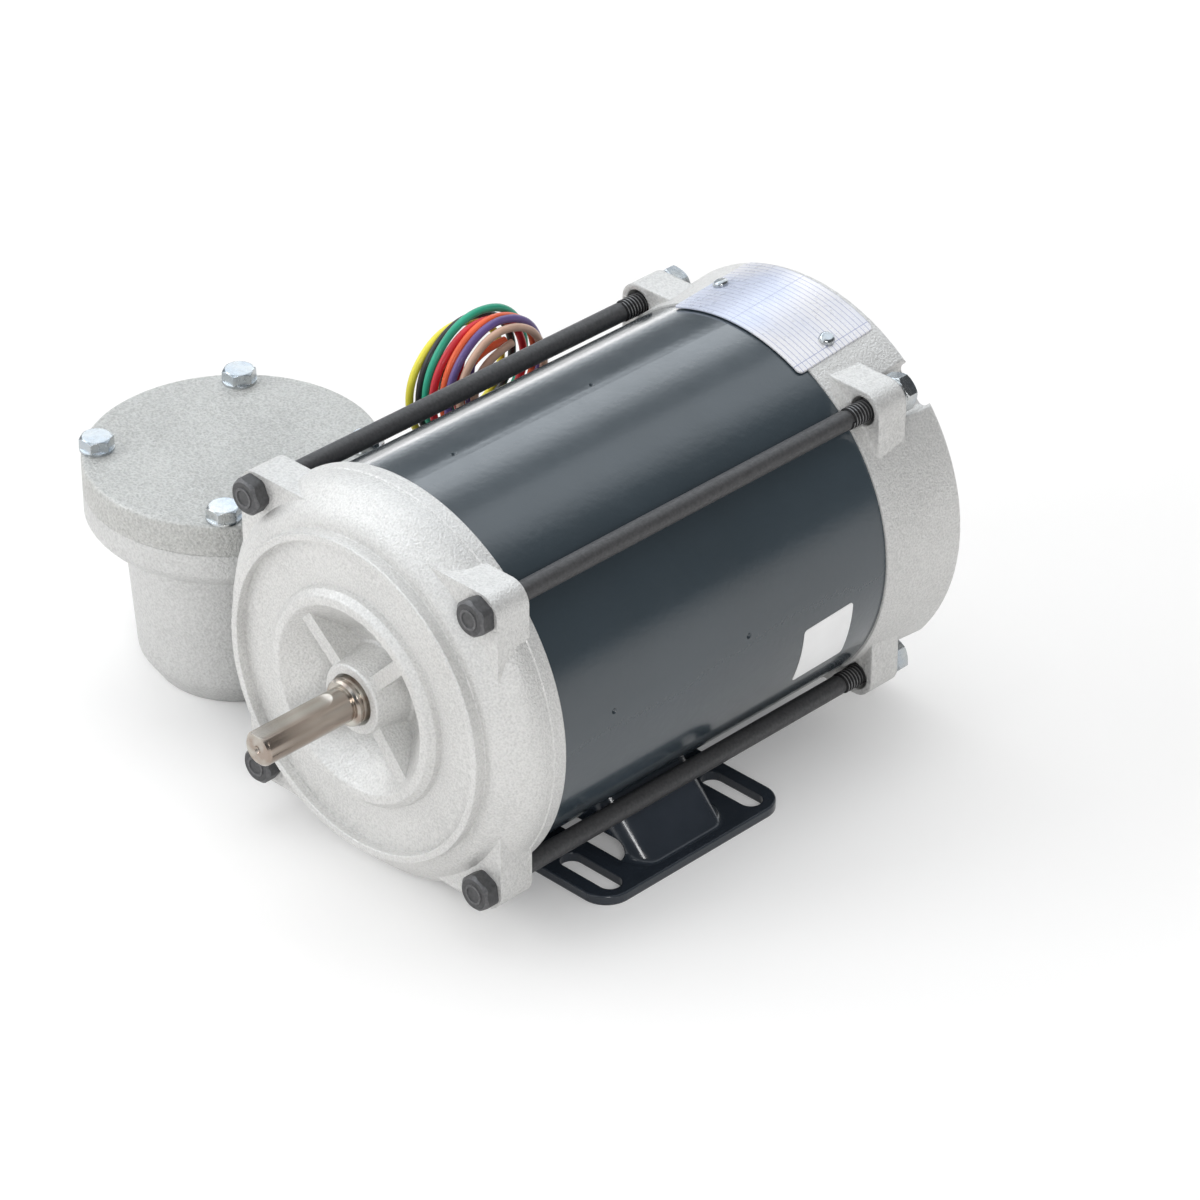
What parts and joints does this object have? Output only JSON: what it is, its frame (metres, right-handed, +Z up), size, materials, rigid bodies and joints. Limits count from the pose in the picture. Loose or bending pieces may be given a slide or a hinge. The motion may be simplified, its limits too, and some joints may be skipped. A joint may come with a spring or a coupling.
{
  "type": "explosion-proof electric motor",
  "caption": "Round explosion-proof induction motor with face mount, pressed foot, coiled leads and a separate round conduit box.",
  "frame": {"origin": "centre of the four foot slots, on the face the foot stands on", "axes": "+Z up; the shaft lies along Y and its extension points to -Y; the lead hub and the loose conduit box are at -X"},
  "size_m": [0.2647, 0.266, 0.1517],
  "materials": {
    "cast_aluminium": "fine sand-cast, light grey",
    "shell_paint": "gloss slate grey",
    "foot_paint": "gloss blue-black",
    "dark_fastener": "dark phosphated",
    "zinc": "bright zinc plate",
    "shaft_steel": "ground",
    "plate_metal": "satin",
    "label_film": "white film",
    "potting": "matt black",
    "bearing_steel": "polished",
    "lamination": "oxidised",
    "copper": "enamelled and varnished",
    "cage_alloy": "cast",
    "switch_board": "brown laminate",
    "brass": "stamped",
    "protector": "black",
    "governor_steel": "yellow zinc",
    "nylon": "natural",
    "lead_tan": "insulation",
    "lead_purple": "insulation",
    "lead_orange": "insulation",
    "lead_red": "insulation",
    "lead_green": "insulation",
    "lead_black": "insulation",
    "lead_yellow": "insulation"
  },
  "bodies": {
    "housing": {"frame_shell": "shell_paint", "front_endshield": "cast_aluminium", "rear_endshield": "cast_aluminium", "lead_bushing": "potting", "through_bolts": "dark_fastener", "lock_washers": "zinc", "through_bolt_nuts": "zinc", "nameplate": "plate_metal", "nameplate_screws": "zinc", "serial_label": "label_film", "stator_core": "lamination", "stator_winding": "copper", "thermal_protector": "protector", "front_bearing_outer_ring": "bearing_steel", "rear_bearing_outer_ring": "bearing_steel", "bearing_preload_spring": "bearing_steel", "bearing_cap": "cast_aluminium", "bearing_cap_screws": "zinc", "start_switch_board": "switch_board", "switch_terminals": "brass", "switch_board_screws": "zinc", "mounting_base": "foot_paint", "conduit_box_body": "cast_aluminium", "conduit_box_cover": "cast_aluminium", "conduit_cover_bolts": "zinc", "conduit_ground_screw": "zinc", "lead_tan": "lead_tan", "lead_purple": "lead_purple", "lead_orange": "lead_orange", "lead_red": "lead_red", "lead_green": "lead_green", "lead_black": "lead_black", "lead_yellow": "lead_yellow"},
    "rotor": {"rotor_shaft": "shaft_steel", "rotor_core": "lamination", "squirrel_cage": "cage_alloy", "front_bearing_inner_ring": "bearing_steel", "rear_bearing_inner_ring": "bearing_steel", "governor_hub": "governor_steel"},
    "front_ball_set": {"front_bearing_balls": "bearing_steel", "front_bearing_cage": "brass"},
    "rear_ball_set": {"rear_bearing_balls": "bearing_steel", "rear_bearing_cage": "brass"},
    "collar": {"governor_collar": "nylon"},
    "upper_weight": {"governor_weight_upper": "governor_steel"},
    "lower_weight": {"governor_weight_lower": "governor_steel"},
    "switch_arm": {"start_switch_arm": "brass"}
  },
  "joints": [
    {"name": "rotor_spin", "type": "hinge", "parent": "housing", "child": "rotor", "pos_m": [0, 0, 0.0762], "axis": [0, 1, 0], "continuous": true},
    {"name": "front_balls_roll", "type": "hinge", "parent": "housing", "child": "front_ball_set", "pos_m": [0, -0.065, 0.0762], "axis": [0, 1, 0], "continuous": true},
    {"name": "rear_balls_roll", "type": "hinge", "parent": "housing", "child": "rear_ball_set", "pos_m": [0, 0.11, 0.0762], "axis": [0, 1, 0], "continuous": true},
    {"name": "collar_slide", "type": "slide", "parent": "rotor", "child": "collar", "axis": [0, -1, 0], "range_m": [0, 0.0024], "stiffness_N_per_m": 1500, "springref_m": -0.002},
    {"name": "upper_weight_swing", "type": "hinge", "parent": "rotor", "child": "upper_weight", "pos_m": [0, 0.066, 0.1002], "axis": [-1, 0, 0], "range_deg": [0, 15.1]},
    {"name": "lower_weight_swing", "type": "hinge", "parent": "rotor", "child": "lower_weight", "pos_m": [0, 0.066, 0.0522], "axis": [1, 0, 0], "range_deg": [0, 15.1]},
    {"name": "switch_arm_swing", "type": "hinge", "parent": "housing", "child": "switch_arm", "pos_m": [0, 0.0837, 0.1142], "axis": [-1, 0, 0], "range_deg": [0, 5.95]}
  ],
  "couplings": [
    {"joint": "front_balls_roll", "follows": "rotor_spin", "ratio": 0.3818},
    {"joint": "rear_balls_roll", "follows": "rotor_spin", "ratio": 0.3818},
    {"joint": "upper_weight_swing", "follows": "collar_slide", "rad_per_m": 109.08},
    {"joint": "lower_weight_swing", "follows": "collar_slide", "rad_per_m": 109.08},
    {"joint": "switch_arm_swing", "follows": "collar_slide", "rad_per_m": 42.583}
  ]
}
